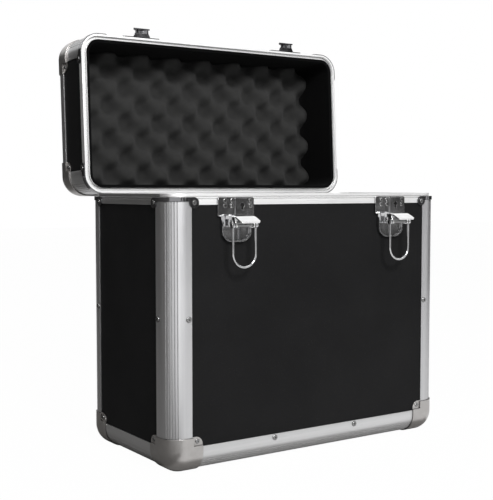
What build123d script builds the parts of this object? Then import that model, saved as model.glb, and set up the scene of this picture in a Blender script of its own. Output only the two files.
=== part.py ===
from build123d import *
import math
import os

# Twelve-inch record carrying case: black boards in rounded aluminium rails, a hinged lid lined with
# egg-crate foam, two draw latches with wire bails and a folding carry handle.
# Millimetres, +Z up, +X to the right along the latch side. The origin is under the middle of the body,
# on the plane the case stands on. The lid is stored open, leaning back on its stop hinges.

os.makedirs("parts", exist_ok=True)

# ---- overall size -------------------------------------------------------------------------------
case_width = 368.0
case_depth = 182.0
rim_height = 280.5
lid_depth = 78.8
open_angle = 93.0

# ---- sheet, board and rail sizes ----------------------------------------------------------------
cap_wall = 1.2
rail_skin = 1.4
board = 5.0
slot_play = 0.1
inner_leg = 1.0
rail_reach = 26.5
edge_radius = 22.0
slot_start = 20.2
rail_web = 1.2
board_end_play = 0.2
joint_play = 0.1
groove_radius = 0.45
groove_count = 5
groove_step = 8.0
lining = 2.0
lining_play = 0.1
lining_top_drop = 0.5

# ---- rim: tongue on the body, groove in the lid -------------------------------------------------
rim_flange = 7.8
rim_web = 3.0
tongue_inset = 2.6
tongue_thick = 2.0
tongue_height = 3.5
rim_gap = 0.5
lid_rim_flange = 7.2
lid_rim_web = 0.8
groove_outer_play = 0.5
groove_inner_play = 1.5
groove_depth = 3.6
rim_line_drop = 1.7

# ---- corner hardware ----------------------------------------------------------------------------
cap_reach = 38.6
cap_rise = 36.2
cap_play = 0.05
ear_rise = 37.2
ear_radius = 8.0
ear_rivet_inset = 6.0
brace_wall = 1.0
brace_reach = 34.5
brace_lobe = 5.5
brace_height = 4.2

# ---- rivets -------------------------------------------------------------------------------------
rivet_head_radius = 3.0
rivet_head_height = 1.2
rivet_shank_radius = 1.5
rivet_play = 0.05
rivet_inset = 22.8
rivet_spacing = 55.0
wall_rivet_height = 158.0
small_head_radius = 2.4
small_head_height = 0.9
head_roundness = 0.7
mandrel_hole_share = 0.35
mandrel_hole_depth = 0.6
drill_past = 1.0

# ---- latches ------------------------------------------------------------------------------------
latch_inset = 78.5
plate_thick = 1.5
plate_width = 44.0
plate_height = 19.4
plate_top_drop = 0.3
tray_width = 36.0
tray_drop = 45.5
tray_wall = 1.4
tray_wall_height = 2.0
tray_wall_rise = 22.0
tray_lap = 6.0
tray_radius = 12.0
plate_corner = 2.0
cover_offset = -1.5
cover_drop = 1.0
cover_width = 15.0
cover_height = 17.4
cover_thick = 1.2
keyhole_radius = 2.4
keyhole_offset = 7.0
keyhole_drop = 8.0
keyhole_slot = 5.0
plate_rivet_columns = (-13.5, -5.0, 17.5)
plate_rivet_drops = (3.4, 8.6)
pivot_out = 8.0
pivot_drop = 26.5
cheek_inner = 8.0
cheek_thick = 1.5
cheek_radius = 4.0
pivot_radius = 1.5
lever_play = 0.5
lever_wall = 1.5
lever_ear_radius = 3.4
lever_plate_gap = 7.0
lever_flat = 9.0
tab_length = 13.0
tab_droop = 17.0
lever_tip_radius = 3.0
lever_flare = 0.5
lever_edge_radius = 1.2
lever_droop = 8.0
lever_folded = 85.0
bail_out = 9.0
bail_drop = 1.0
bail_pin_radius = 1.25
pin_play = 0.05
bail_wire = 2.5
bail_side_play = 1.0
bail_eye_radius = 2.7
bail_leg_bite = 0.8
bail_reach = 41.25
pin_head_radius = 2.0
pin_head_thick = 1.0
pin_head_gap = 0.15
hook_play = 0.3
hook_radius = 11.0
hook_sheet = 1.5
hook_lip_rise = 3.8
keeper_width = 48.0
keeper_height = 12.0
keeper_thick = 1.2
keeper_rivet_spacing = 41.0
keeper_rivet_inset = 3.4
keeper_margin = 0.6
keeper_foot_wide = 22.0
keeper_foot_narrow = 18.0
keeper_foot_reach = 4.4
lip_play = 1.0

# ---- hinges -------------------------------------------------------------------------------------
hinge_inset = 78.5
hinge_back = 5.0
hinge_drop = 1.2
hinge_width = 44.0
hinge_knuckle = 13.0
knuckle_gap = 0.3
knuckle_radius = 3.3
hinge_pin_radius = 1.5
leaf_thick = 1.5
leaf_height = 22.0
leaf_clear = 1.0
stop_gap = 0.3
stop_length = 12.0
leaf_rivet_spacing = 28.0
leaf_rivet_inset = 6.0

# ---- foam and handle ----------------------------------------------------------------------------
foam_thick = 20.0
foam_play = 0.3
handle_half = 60.0
handle_reach = 34.0
handle_bend = 6.0
handle_rod_radius = 3.0
handle_axis_rise = 8.0
handle_grip_radius = 7.5
handle_grip_length = 96.0
grip_round = 2.5
bracket_length = 34.0
bracket_width = 26.0
bracket_thick = 2.0
bracket_lug = 5.0
lug_radius = 5.5
handle_play = 0.5
bracket_rivet_spacing = 22.0
bracket_rivet_inset = 5.5

# ---- places worked out from the sizes above -----------------------------------------------------
half_w = case_width / 2
half_d = case_depth / 2
wall_depth = rail_skin + board + slot_play + inner_leg
body_floor = cap_wall
rim_base = rim_height - rim_flange
lid_base = rim_height + rim_gap
lid_top = lid_base + lid_depth
lid_rim_top = lid_base + lid_rim_flange
tongue_outer = tongue_inset
slot_width = board + slot_play
board_inset = slot_start + board_end_play
lining_depth = wall_depth + lining_play
lining_inside = lining_depth + lining
latch_offset = half_w - latch_inset
hinge_offset = half_w - hinge_inset
hinge_y = half_d + hinge_back
hinge_z = rim_height - hinge_drop
hinge_line = Axis((0, hinge_y, hinge_z), (1, 0, 0))
NEAR = (Align.MIN, Align.MIN)
ON_TOP = (Align.CENTER, Align.CENTER, Align.MIN)
BELOW = (Align.CENTER, Align.CENTER, Align.MAX)

nodes = {}


def opened(shape):
    """Carries a lid piece from the closed place it is drawn in to the open place it is stored in."""
    return shape.rotate(hinge_line, -open_angle)


def about_face(shape):
    """Half a turn about the upright centre line: front to rear, left to right."""
    return shape.rotate(Axis.Z, 180)


def turned_over(shape):
    """Half a turn about a level line, so that what lies at the body's floor lies at the lid's top."""
    level = Axis((0, 0, (body_floor + lid_top) / 2), (1, 0, 0))
    return shape.rotate(level, 180)


def four_corners(shape):
    """A piece drawn at a corner at the origin, its sides along +X and +Y, set at the four corners."""
    return {
        "front_left": Pos(-half_w, -half_d) * shape,
        "front_right": Pos(half_w, -half_d) * Rot(0, 0, 90) * shape,
        "rear_right": Pos(half_w, half_d) * Rot(0, 0, 180) * shape,
        "rear_left": Pos(-half_w, half_d) * Rot(0, 0, 270) * shape,
    }


def group(shapes):
    return Compound([solid for shape in shapes for solid in shape.solids()])


def box_between(low, high):
    size = [b - a for a, b in zip(low, high)]
    return Pos(*low) * Box(*size, align=(Align.MIN, Align.MIN, Align.MIN))


def nearest_vertex(sketch):
    return sketch.vertices().sort_by_distance((0, 0, 0))[0]


# ---- rail sections: u runs inwards from the outer face, v along the wall ------------------------
def corner_section():
    """Rounded double-wall section with a slot for a board in each leg and a hollow channel in its bend."""
    outer = Rectangle(rail_reach, rail_reach, align=NEAR)
    outer = fillet(nearest_vertex(outer), edge_radius)
    inside = Pos(wall_depth, wall_depth) * Rectangle(rail_reach, rail_reach, align=NEAR)
    inside = fillet(nearest_vertex(inside), edge_radius - wall_depth)
    section = outer - inside
    section -= Pos(slot_start, rail_skin) * Rectangle(rail_reach, slot_width, align=NEAR)
    section -= Pos(rail_skin, slot_start) * Rectangle(slot_width, rail_reach, align=NEAR)
    bend = Pos(edge_radius, edge_radius)
    channel = bend * Circle(edge_radius - rail_skin)
    channel -= bend * Circle(edge_radius - wall_depth + inner_leg)
    channel_end = slot_start - rail_web
    section -= channel & Rectangle(channel_end, channel_end, align=NEAR)
    for number in range(groove_count):
        angle = math.radians(225 + (number - (groove_count - 1) / 2) * groove_step)
        u = edge_radius + edge_radius * math.cos(angle)
        v = edge_radius + edge_radius * math.sin(angle)
        section -= Pos(u, v) * Circle(groove_radius)
    return section


def rim_section(slotted):
    """Body rim: a flange outside the board, a leg inside it and a tongue on top."""
    section = Rectangle(wall_depth, rim_flange, align=NEAR)
    if slotted:
        slot_height = rim_flange - rim_web
        section -= Pos(rail_skin, 0) * Rectangle(slot_width, slot_height, align=NEAR)
    section += Pos(tongue_outer, rim_flange) * Rectangle(tongue_thick, tongue_height, align=NEAR)
    section -= Pos(0, rim_flange - rim_line_drop) * Circle(groove_radius)
    return section


def lid_rim_section(slotted):
    """Lid rim: the same flange and leg turned over, with a groove that takes the tongue."""
    section = Rectangle(wall_depth, lid_rim_flange, align=NEAR)
    groove_start = tongue_outer - groove_outer_play
    groove_width = tongue_thick + groove_outer_play + groove_inner_play
    section -= Pos(groove_start, 0) * Rectangle(groove_width, groove_depth, align=NEAR)
    if slotted:
        web_top = groove_depth + lid_rim_web
        section -= Pos(rail_skin, web_top) * Rectangle(slot_width, lid_rim_flange, align=NEAR)
    return section


def front_rail(section, end_inset, height):
    """A section run along the front side, its v direction up from the given height."""
    start = Plane(origin=(-half_w + end_inset, -half_d, height), x_dir=(0, 1, 0), z_dir=(1, 0, 0))
    return extrude(start * section, amount=case_width - 2 * end_inset)


def left_rail(section, end_inset, height):
    start = Plane(origin=(-half_w, half_d - end_inset, height), x_dir=(1, 0, 0), z_dir=(0, -1, 0))
    return extrude(start * section, amount=case_depth - 2 * end_inset)


def four_sides(section, end_inset, height):
    front = front_rail(section, end_inset, height)
    left = left_rail(section, end_inset, height)
    return {"front": front, "rear": about_face(front), "left": left, "right": about_face(left)}


def rim_bend(section, height):
    """A rim section carried round a corner at the origin."""
    start = Plane(origin=(0, edge_radius, height), x_dir=(1, 0, 0), z_dir=(0, -1, 0))
    bend_line = Axis((edge_radius, edge_radius, 0), (0, 0, 1))
    return revolve(start * section, bend_line, revolution_arc=90)


# ---- rivets -------------------------------------------------------------------------------------
def rivet_at(place, grip, head_radius=rivet_head_radius, head_height=rivet_head_height):
    """A blind rivet, hollow where its mandrel broke off; place's z axis points out of the riveted face."""
    head = Cylinder(head_radius, head_height, align=ON_TOP)
    head = fillet(head.edges().sort_by(Axis.Z)[-1], head_height * head_roundness)
    hole = Cylinder(head_radius * mandrel_hole_share, head_height * mandrel_hole_depth, align=BELOW)
    head -= Pos(0, 0, head_height) * hole
    return place * (head + Cylinder(rivet_shank_radius, grip, align=BELOW))


def rivet_hole(place, grip):
    return place * Cylinder(rivet_shank_radius + rivet_play, grip, align=BELOW)


def facing(origin, outward):
    return Plane(origin=origin, z_dir=outward).location


def drilled(shape, places, grip):
    for place in places:
        shape -= rivet_hole(place, grip)
    return shape


rail_grip = wall_depth - rivet_play
through_grip = wall_depth + drill_past

# ---- vertical corner rails ----------------------------------------------------------------------
rail_section = corner_section()
corner_bottom = body_floor + rail_reach + joint_play
corner_top = rim_base - joint_play
corner_rail = Pos(0, 0, corner_bottom) * extrude(rail_section, amount=corner_top - corner_bottom)
brace_low = rim_height - joint_play - brace_height
shoulder_end = edge_radius - joint_play
shoulder = Rectangle(shoulder_end, shoulder_end, align=NEAR)
shoulder += Rectangle(rail_reach, rail_skin, align=NEAR)
shoulder += Rectangle(rail_skin, rail_reach, align=NEAR)
shoulder_rise = brace_low - joint_play - corner_top
corner_rail += Pos(0, 0, corner_top) * extrude(rail_section & shoulder, amount=shoulder_rise)
flange_rivets = [
    facing((rivet_inset, 0, wall_rivet_height), (0, -1, 0)),
    facing((0, rivet_inset, wall_rivet_height), (-1, 0, 0)),
]
corner_rail = drilled(corner_rail, flange_rivets, through_grip)
for corner, shape in four_corners(corner_rail).items():
    nodes["corner_rail_" + corner] = shape
flange_rivet_set = [rivet_at(place, rail_grip) for place in flange_rivets]
body_rivets = list(four_corners(group(flange_rivet_set)).values())

# ---- base rails ---------------------------------------------------------------------------------
base_rails = four_sides(rail_section, rail_reach, body_floor)
rail_rivets = [
    facing((x, -half_d, body_floor + rivet_inset), (0, -1, 0))
    for x in (-rivet_spacing, rivet_spacing)
]
base_rails["front"] = drilled(base_rails["front"], rail_rivets, through_grip)
base_rails["rear"] = about_face(base_rails["front"])
for side, shape in base_rails.items():
    nodes["base_rail_" + side] = shape
rail_rivet_set = group([rivet_at(place, rail_grip) for place in rail_rivets])
body_rivets += [rail_rivet_set, about_face(rail_rivet_set)]

# ---- body rim -----------------------------------------------------------------------------------
rim_rails = four_sides(rim_section(True), edge_radius, rim_base)
notch_end = rail_reach + joint_play
notches = group(
    four_corners(
        box_between((0, 0, rim_base), (notch_end, rail_skin, brace_low))
        + box_between((0, 0, rim_base), (rail_skin, notch_end, brace_low))
    ).values()
)
rim_rails = {side: shape - notches for side, shape in rim_rails.items()}


def board_notches(low, high):
    """Room for the ends of the two boards that meet at a corner at the origin."""
    end = edge_radius + joint_play
    far = rail_skin + slot_width
    notch = box_between((slot_start, rail_skin, low), (end, far, high))
    return notch + box_between((rail_skin, slot_start, low), (far, end, high))


rim_corner = rim_bend(rim_section(False), rim_base)
rim_corner -= box_between((0, 0, rim_base), (case_depth, case_depth, brace_low))
rim_corner -= board_notches(brace_low, rim_height - rim_web)
nodes["rim_corners"] = group(four_corners(rim_corner).values())


def strap_brace(low, high, lobe_centre):
    """A curved strap round a corner at the origin, with a round lobe at each end."""
    outer = box_between((-brace_wall, -brace_wall, low), (case_depth, case_depth, high))
    outer = fillet(upright_edge(outer), edge_radius + brace_wall)
    inner = box_between((-cap_play, -cap_play, low), (case_depth, case_depth, high))
    inner = fillet(upright_edge(inner), edge_radius + cap_play)
    end = brace_reach - brace_lobe
    strap = (outer - inner) & box_between((-brace_wall, -brace_wall, low), (end, end, high))
    lobes = (
        facing((end, -cap_play, lobe_centre), (0, -1, 0)),
        facing((-cap_play, end, lobe_centre), (-1, 0, 0)),
    )
    for lobe in lobes:
        strap += lobe * Cylinder(brace_lobe, brace_wall - cap_play, align=ON_TOP)
    return strap


def upright_edge(block):
    """The upright edge of a block that lies nearest the z axis."""
    return block.edges().filter_by(Axis.Z).sort_by(lambda edge: edge.center().X + edge.center().Y)[0]


def brace_places(height):
    inset = brace_reach - brace_lobe
    return [
        facing((inset, -brace_wall, height), (0, -1, 0)),
        facing((-brace_wall, inset, height), (-1, 0, 0)),
    ]


brace_grip = brace_wall + wall_depth - rivet_play
lobe_height = rim_height - joint_play - brace_lobe
rim_brace = strap_brace(brace_low, rim_height - joint_play, lobe_height)
body_brace_places = brace_places(lobe_height)
rim_brace = drilled(rim_brace, body_brace_places, brace_grip)
nodes["rim_braces"] = group(four_corners(rim_brace).values())
brace_rivet = group(
    [rivet_at(p, brace_grip, small_head_radius, small_head_height) for p in body_brace_places]
)
body_rivets += four_corners(brace_rivet).values()


# ---- corner caps --------------------------------------------------------------------------------
def rounded_block(low, high, radius):
    """A block with its upright edges and its floor edges rounded alike."""
    block = box_between(low, high)
    edges = block.edges().filter_by(Axis.Z) + block.edges().group_by(Axis.Z)[0]
    return fillet(edges, radius)


def corner_block(offset, radius):
    """The outer corner of the case, grown by an offset, for a corner at the origin."""
    block = box_between(
        (-offset, -offset, body_floor - offset), (case_depth, case_depth, case_depth)
    )
    corner = Vector(-offset, -offset, body_floor - offset)
    edges = [e for e in block.edges() if min((v.center() - corner).length for v in e.vertices()) < 1e-6]
    return fillet(edges, radius)


def cap_bar(reach_x, reach_y, reach_z):
    low = -cap_wall
    return box_between((low, low, 0), (reach_x, reach_y, body_floor + reach_z))


def cap_ear():
    """A flat ear on the front board beside the rail flanges, with the steps that join it to the cap."""
    wide = cap_reach - rail_reach
    high = ear_rise - rail_reach
    outline = Rectangle(wide, high, align=NEAR)
    far_corner = outline.vertices().sort_by_distance((wide, high))[0]
    outline = Pos(rail_reach, body_floor + rail_reach) * fillet(far_corner, ear_radius)
    wall = Plane(origin=(0, rail_skin, 0), x_dir=(1, 0, 0), z_dir=(0, -1, 0))
    ear = extrude(wall * outline, amount=cap_wall)
    low_z = body_floor + rail_reach
    ear += box_between(
        (rail_reach, -cap_wall, low_z), (rail_reach + cap_wall, rail_skin, body_floor + cap_rise)
    )
    ear += box_between((rail_reach, -cap_wall, low_z), (cap_reach, rail_skin, low_z + cap_wall))
    return ear


def corner_cap():
    """A pressed three-way cap: a thin rounded shell over the rail ends and an ear on each wall."""
    shell = corner_block(cap_wall, edge_radius + cap_wall) - corner_block(cap_play, edge_radius + cap_play)
    bars = cap_bar(rail_reach, rail_reach, cap_rise)
    bars += cap_bar(cap_reach, rail_reach, rail_reach)
    bars += cap_bar(rail_reach, cap_reach, rail_reach)
    ear = cap_ear()
    side_ear = mirror(ear, about=Plane(origin=(0, 0, 0), z_dir=(1, -1, 0)))
    return (shell & bars) + ear + side_ear


ear_grip = cap_wall + board
ear_x = rail_reach + ear_rivet_inset
ear_z = body_floor + rail_reach + ear_rivet_inset
ear_places = [
    facing((ear_x, rail_skin - cap_wall, ear_z), (0, -1, 0)),
    facing((rail_skin - cap_wall, ear_x, ear_z), (-1, 0, 0)),
]
base_cap = drilled(corner_cap(), ear_places, ear_grip + drill_past)
base_caps = group(four_corners(base_cap).values())
nodes["base_caps"] = base_caps
ear_rivet = group(
    [rivet_at(p, ear_grip - rivet_play, small_head_radius, small_head_height) for p in ear_places]
)
ear_rivets = group(four_corners(ear_rivet).values())
body_rivets.append(ear_rivets)

# ---- body boards --------------------------------------------------------------------------------
board_top = rim_height - rim_web - board_end_play
board_low = body_floor + board_inset
wide_board = box_between(
    (-half_w + board_inset, -half_d + rail_skin, board_low),
    (half_w - board_inset, -half_d + rail_skin + board, board_top),
)
narrow_board = box_between(
    (-half_w + rail_skin, -half_d + board_inset, board_low),
    (-half_w + rail_skin + board, half_d - board_inset, board_top),
)
front_turns = (Pos(-half_w, -half_d), Pos(half_w, -half_d) * Rot(0, 0, 90))
left_turns = (Pos(-half_w, -half_d), Pos(-half_w, half_d) * Rot(0, 0, 270))
wall_places = flange_rivets + ear_places + body_brace_places
front_places = [turn * place for turn in front_turns for place in wall_places]
left_places = [turn * place for turn in left_turns for place in wall_places]
front_panel = drilled(wide_board, front_places + rail_rivets, brace_grip + drill_past)
rear_panel = about_face(front_panel)
left_panel = drilled(narrow_board, left_places, brace_grip + drill_past)
rim_rails["front"] = drilled(rim_rails["front"], front_places, brace_grip + drill_past)
rim_rails["rear"] = about_face(rim_rails["front"])
rim_rails["left"] = drilled(rim_rails["left"], left_places, brace_grip + drill_past)
rim_rails["right"] = about_face(rim_rails["left"])
nodes["left_panel"] = left_panel
nodes["right_panel"] = about_face(left_panel)
nodes["base_panel"] = box_between(
    (-half_w + board_inset, -half_d + board_inset, body_floor + rail_skin),
    (half_w - board_inset, half_d - board_inset, body_floor + rail_skin + board),
)

# ---- body lining: one moulded tub of soft sheet -------------------------------------------------
lining_radius = edge_radius - lining_depth
lining_top = rim_height - lining_top_drop


def lining_tub(floor, top):
    """A tub of lining sheet with its floor at the given height, open at the top."""
    inset_w = half_w - lining_depth
    inset_d = half_d - lining_depth
    outside = rounded_block((-inset_w, -inset_d, floor), (inset_w, inset_d, top), lining_radius)
    inside = rounded_block(
        (-inset_w + lining, -inset_d + lining, floor + lining),
        (inset_w - lining, inset_d - lining, top + lining_radius),
        lining_radius - lining,
    )
    return outside - inside


nodes["body_lining"] = lining_tub(body_floor + lining_depth, lining_top)

# ---- latches ------------------------------------------------------------------------------------
front_face = Plane(origin=(0, -half_d, 0), x_dir=(1, 0, 0), z_dir=(0, -1, 0))
plate_top = rim_height - plate_top_drop
tray_bottom = plate_top - tray_drop
pivot_y = -half_d - pivot_out
pivot_z = rim_height - pivot_drop
lever_inner = cheek_inner + cheek_thick + lever_play
lever_outer = lever_inner + lever_wall
bail_inner = lever_outer + bail_side_play
bail_centre = bail_inner + bail_wire / 2
bail_outer = bail_inner + bail_wire
latch_places = {"left": Pos(-latch_offset, 0), "right": Pos(latch_offset, 0)}


def tray_outline(edge):
    """The rounded lower part of the latch plate, drawn in from its outline by an edge width."""
    wide = tray_width - 2 * edge
    high = tray_drop - plate_height + tray_lap - edge
    outline = Pos(0, tray_bottom + edge) * Rectangle(wide, high, align=(Align.CENTER, Align.MIN))
    return fillet(outline.vertices().group_by(Axis.Y)[0], tray_radius - edge)


def side_ear(outline, start, thick):
    """A sheet in a plane across x, drawn in y and z, from start outwards, and its twin at -x."""
    face = Plane(origin=(start, 0, 0), x_dir=(0, 1, 0), z_dir=(1, 0, 0))
    sheet = extrude(face * outline, amount=thick)
    return sheet, Pos(-2 * start - thick, 0, 0) * sheet


def latch_plate():
    """Pressed plate: a lock panel on the rim flange, a walled tray below it and two pivot cheeks."""
    upper = Rectangle(plate_width, plate_height, align=(Align.CENTER, Align.MAX))
    upper = Pos(0, plate_top) * fillet(upper.vertices(), plate_corner)
    outline = upper + tray_outline(0)
    plate = extrude(front_face * outline, amount=plate_thick)
    pad_top = rim_base - joint_play
    pad = outline & Pos(0, pad_top) * Rectangle(plate_width, tray_drop, align=(Align.CENTER, Align.MAX))
    plate += extrude(front_face * pad, amount=-rail_skin)
    wall = tray_outline(0) - tray_outline(tray_wall)
    wall &= Pos(0, tray_bottom) * Rectangle(plate_width, tray_wall_rise, align=(Align.CENTER, Align.MIN))
    plate += extrude(front_face.offset(plate_thick) * wall, amount=tray_wall_height)
    cover = Pos(cover_offset, plate_top - cover_drop) * Rectangle(
        cover_width, cover_height, align=(Align.MIN, Align.MAX)
    )
    plate += extrude(front_face.offset(plate_thick) * cover, amount=cover_thick)
    keyhole = Pos(keyhole_offset, plate_top - keyhole_drop) * (
        Circle(keyhole_radius)
        + Rectangle(keyhole_radius, keyhole_slot, align=(Align.CENTER, Align.MAX))
    )
    plate -= extrude(front_face * keyhole, amount=plate_thick + cover_thick)
    plate_front = -half_d - plate_thick
    cheek = Pos(pivot_y, pivot_z) * Circle(cheek_radius)
    cheek += Pos(pivot_y, pivot_z) * Rectangle(
        plate_front - pivot_y, 2 * cheek_radius, align=(Align.MIN, Align.CENTER)
    )
    cheek -= Pos(pivot_y, pivot_z) * Circle(pivot_radius + pin_play)
    for sheet in side_ear(cheek, cheek_inner, cheek_thick):
        plate += sheet
    return plate


def across(y, z, radius, half_length):
    """A round bar along x through y and z."""
    return Pos(0, y, z) * Rot(0, 90, 0) * Cylinder(radius, 2 * half_length)


def lever():
    """Folding lever: a flat top with a thumb tab bent down from it and an ear turned down each side."""
    rear = lever_ear_radius
    under = lever_plate_gap
    top = under + lever_wall
    bail_y = -bail_out
    bail_z = -bail_drop
    ear = make_face(
        Polyline(
            (rear, 0),
            (rear, under),
            (-lever_flat + lever_wall, under),
            (-lever_flat + lever_wall, under - lever_wall),
            (bail_y - bail_eye_radius, bail_z - pin_head_radius / 2),
            (bail_y, bail_z - bail_eye_radius),
            (0, -rear),
            close=True,
        )
    )
    ear += Circle(rear)
    ear += Pos(bail_y, bail_z) * Circle(bail_eye_radius)
    ear -= Circle(pivot_radius + pin_play)
    ear -= Pos(bail_y, bail_z) * Circle(bail_pin_radius + pin_play)
    half = lever_outer + lever_flare
    shape = box_between((-half, -lever_flat, under), (half, rear, top))
    tab = Rectangle(2 * half, tab_length, align=(Align.CENTER, Align.MAX))
    tab = extrude(fillet(tab.vertices().group_by(Axis.Y)[0], lever_tip_radius), amount=-lever_wall)
    shape += Pos(0, -lever_flat, top) * Rot(tab_droop, 0, 0) * tab
    long_edges = shape.edges().filter_by(Axis.Y).group_by(Axis.Z)[-1]
    shape = fillet(long_edges, lever_edge_radius)
    for sheet in side_ear(ear, lever_inner, lever_wall):
        shape += sheet
    return Pos(0, pivot_y, pivot_z) * Rot(lever_droop, 0, 0) * shape


def bail_pin_place(angle):
    """Where the bail's pin stands, in y and z, with the lever let down from level by an angle."""
    turn = math.radians(angle)
    out = bail_out * math.cos(turn) - bail_drop * math.sin(turn)
    down = bail_out * math.sin(turn) + bail_drop * math.cos(turn)
    return pivot_y - out, pivot_z - down


bail_y, bail_z = bail_pin_place(lever_droop)


def bail():
    """Wire loop: two legs with eyes on the bail pin and a half-round end, hanging straight down."""
    leg_length = bail_reach - bail_inner
    eye = across(0, 0, bail_eye_radius, bail_outer) - across(0, 0, bail_eye_radius, bail_inner)
    leg = Cylinder(bail_wire / 2, leg_length - bail_eye_radius + bail_leg_bite, align=ON_TOP)
    loop = eye
    for x in (-bail_centre, bail_centre):
        loop += Pos(x, 0, -leg_length) * leg
    ring = Plane(origin=(bail_centre, 0, -leg_length)) * Circle(bail_wire / 2)
    loop += revolve(ring, Axis((0, 0, -leg_length), (0, 1, 0)), revolution_arc=180)
    loop -= across(0, 0, bail_pin_radius + pin_play, bail_outer)
    return Pos(0, bail_y, bail_z) * loop


def bail_pin():
    pin = across(0, 0, bail_pin_radius, bail_outer + pin_head_gap)
    head_start = bail_outer + pin_head_gap
    heads = across(0, 0, pin_head_radius, head_start + pin_head_thick)
    heads -= across(0, 0, pin_head_radius, head_start)
    return Pos(0, bail_y, bail_z) * (pin + heads)


plate_rivets = [
    facing((x, -half_d - plate_thick, plate_top - drop), (0, -1, 0))
    for x in plate_rivet_columns
    for drop in plate_rivet_drops
]
plate_grip = plate_thick + wall_depth - rivet_play
plate_shape = drilled(latch_plate(), plate_rivets, plate_thick + rail_skin)
lever_pin = across(pivot_y, pivot_z, pivot_radius, lever_outer)
plate_rivet_set = group(
    [rivet_at(p, plate_grip, small_head_radius, small_head_height) for p in plate_rivets]
)
lever_pins = []
for side, place in latch_places.items():
    nodes["latch_plate_" + side] = place * plate_shape
    nodes["latch_lever_" + side] = place * lever()
    nodes["bail_pin_" + side] = place * bail_pin()
    nodes["bail_" + side] = place * bail()
    lever_pins.append(place * lever_pin)
    body_rivets.append(place * plate_rivet_set)
    spots = [place * spot for spot in plate_rivets]
    front_panel = drilled(front_panel, spots, plate_grip + drill_past)
    rim_rails["front"] = drilled(rim_rails["front"], spots, plate_grip + drill_past)
nodes["lever_pins"] = group(lever_pins)
nodes["front_panel"] = front_panel

# ---- hinges: a body leaf with two knuckles, a lid leaf with one between them --------------------
hinge_places = [Pos(-hinge_offset, 0), Pos(hinge_offset, 0)]
barrel = across(hinge_y, hinge_z, knuckle_radius, hinge_width / 2)
bore = across(hinge_y, hinge_z, hinge_pin_radius + pin_play, hinge_width)
lid_knuckle = hinge_width / 2 - hinge_knuckle - knuckle_gap
leaf_rear = half_d + leaf_thick


def leaf(bottom, top, pad_bottom, pad_top, arm_bottom):
    """A leaf flat on the rim flange, packed out to the board, with an arm level with its barrel."""
    half = hinge_width / 2
    plate = box_between((-half, half_d, bottom), (half, leaf_rear, top))
    plate += box_between((-half, half_d - rail_skin, pad_bottom), (half, half_d, pad_top))
    arm = box_between((-half, half_d, arm_bottom), (half, hinge_y, arm_bottom + leaf_thick))
    return plate, arm + barrel


def body_leaf():
    top = hinge_z - leaf_clear
    plate, knuckles = leaf(
        top - leaf_height, top, top - leaf_height, rim_base - joint_play, hinge_z - knuckle_radius
    )
    stop_face = leaf_rear + stop_gap
    stop = box_between(
        (-hinge_width / 2, stop_face, hinge_z),
        (hinge_width / 2, stop_face + leaf_thick, hinge_z + stop_length),
    )
    knuckles += opened(stop)
    gap = hinge_width / 2 - hinge_knuckle
    ends = knuckles - box_between((-gap, 0, 0), (gap, case_width, case_width))
    return plate + ends - bore


def lid_leaf():
    bottom = lid_base + joint_play
    plate, knuckle = leaf(
        bottom, bottom + leaf_height, lid_rim_top + joint_play, bottom + leaf_height,
        hinge_z + knuckle_radius - leaf_thick,
    )
    middle = knuckle & box_between((-lid_knuckle, 0, 0), (lid_knuckle, case_width, case_width))
    return plate + middle - bore


leaf_rivet_x = leaf_rivet_spacing / 2
body_leaf_z = hinge_z - leaf_clear - leaf_height + leaf_rivet_inset
lid_leaf_z = lid_base + joint_play + leaf_height - leaf_rivet_inset
body_leaf_places = [facing((x, leaf_rear, body_leaf_z), (0, 1, 0)) for x in (-leaf_rivet_x, leaf_rivet_x)]
lid_leaf_places = [facing((x, leaf_rear, lid_leaf_z), (0, 1, 0)) for x in (-leaf_rivet_x, leaf_rivet_x)]
leaf_grip = leaf_thick + wall_depth - rivet_play
body_leaf_shape = drilled(body_leaf(), body_leaf_places, leaf_grip)
lid_leaf_shape = drilled(lid_leaf(), lid_leaf_places, leaf_grip)
nodes["hinge_body_leaves"] = group([place * body_leaf_shape for place in hinge_places])
hinge_pin = across(hinge_y, hinge_z, hinge_pin_radius, hinge_width / 2 + pin_head_thick)
pin_heads = across(hinge_y, hinge_z, pin_head_radius + pin_play, hinge_width / 2 + pin_head_thick)
pin_heads -= across(hinge_y, hinge_z, knuckle_radius, hinge_width / 2 + pin_play)
nodes["hinge_pins"] = group([place * (hinge_pin + pin_heads) for place in hinge_places])
for place in hinge_places:
    spots = [place * spot for spot in body_leaf_places]
    rear_panel = drilled(rear_panel, spots, leaf_grip + drill_past)
    body_rivets += [
        rivet_at(spot, leaf_grip, small_head_radius, small_head_height) for spot in spots
    ]
nodes["rear_panel"] = rear_panel
for side, shape in rim_rails.items():
    nodes["rim_rail_" + side] = shape
nodes["body_rivets"] = group(body_rivets)

# ---- lid frame, drawn closed --------------------------------------------------------------------
lid = {}
for side, shape in four_sides(lid_rim_section(True), edge_radius, lid_base).items():
    lid["lid_rim_" + side] = shape
lid_rails = {}
for side, opposite in (("front", "rear"), ("rear", "front"), ("left", "left"), ("right", "right")):
    lid_rails[side] = turned_over(base_rails[opposite])
    lid["lid_rail_" + side] = lid_rails[side]
lid_rim_corner = rim_bend(lid_rim_section(False), lid_base)
lid_rim_corner -= board_notches(lid_base + groove_depth + lid_rim_web, lid_rim_top)
lid["lid_rim_corners"] = group(four_corners(lid_rim_corner).values())
lid_corner_low = lid_rim_top + joint_play
lid_corner_high = lid_top - rail_reach - joint_play
lid_corner = Pos(0, 0, lid_corner_low) * extrude(rail_section, amount=lid_corner_high - lid_corner_low)
lid["lid_corner_rails"] = group(four_corners(lid_corner).values())
lid["lid_caps"] = turned_over(base_caps)

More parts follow.
